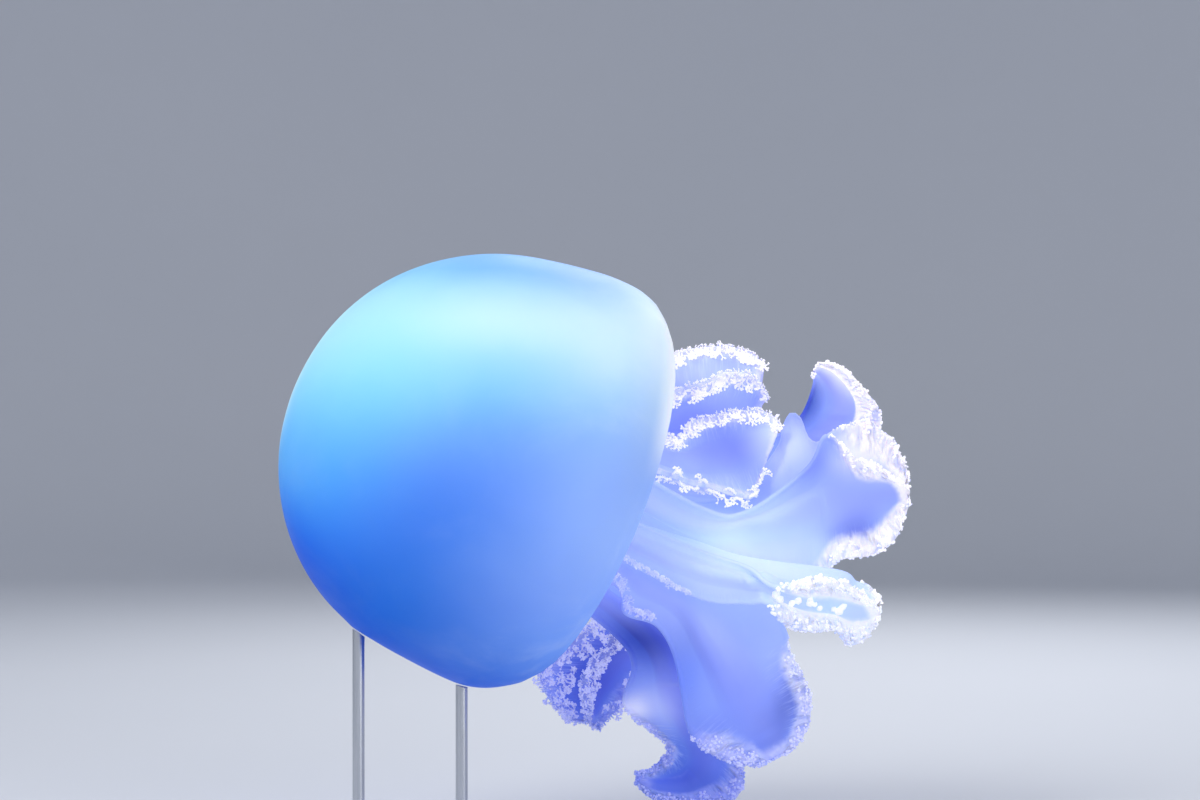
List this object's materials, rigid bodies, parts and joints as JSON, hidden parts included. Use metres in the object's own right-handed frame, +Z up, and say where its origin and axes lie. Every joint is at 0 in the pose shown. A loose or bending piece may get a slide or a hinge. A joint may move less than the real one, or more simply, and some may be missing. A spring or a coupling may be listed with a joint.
{
  "type": "blue blubber jellyfish model",
  "caption": "Blue blubber jellyfish, Catostylus mosaicus, as a still life-size model: domed bell, frilled three-winged oral arms, plain rod stand.",
  "frame": {"origin": "middle of the underside of the stand's base", "axes": "+Z up; -Y is the side the animal is seen from, with the bell toward -X and the arms toward +X"},
  "size_m": [0.2633, 0.1816, 0.249],
  "materials": {
    "bell_gel": "wet translucent jelly, cyan-white above to deep blue below",
    "margin_gel": "wet translucent jelly, pale violet blue",
    "disc_gel": "wet translucent jelly",
    "arm_gel": "wet lavender jelly",
    "arm_tip_gel": "wet lavender jelly with near-white frills",
    "stand_metal": "satin",
    "stand_plate": "matt, fine grained"
  },
  "bodies": {
    "root": {"bell_crown": "bell_gel", "bell_wall": "bell_gel", "bell_margin": "margin_gel", "oral_disc": "disc_gel", "pillar_1": "disc_gel", "pillar_2": "disc_gel", "pillar_3": "disc_gel", "pillar_4": "disc_gel", "arm_1_base": "arm_gel", "arm_1_tip": "arm_tip_gel", "arm_2_base": "arm_gel", "arm_2_tip": "arm_tip_gel", "arm_3_base": "arm_gel", "arm_3_tip": "arm_tip_gel", "arm_4_base": "arm_gel", "arm_4_tip": "arm_tip_gel", "arm_5_base": "arm_gel", "arm_5_tip": "arm_tip_gel", "arm_6_base": "arm_gel", "arm_6_tip": "arm_tip_gel", "arm_7_base": "arm_gel", "arm_7_tip": "arm_tip_gel", "arm_8_base": "arm_gel", "arm_8_tip": "arm_tip_gel", "stand_base": "stand_plate", "stand_rod_left": "stand_metal", "stand_rod_right": "stand_metal"}
  },
  "joints": []
}
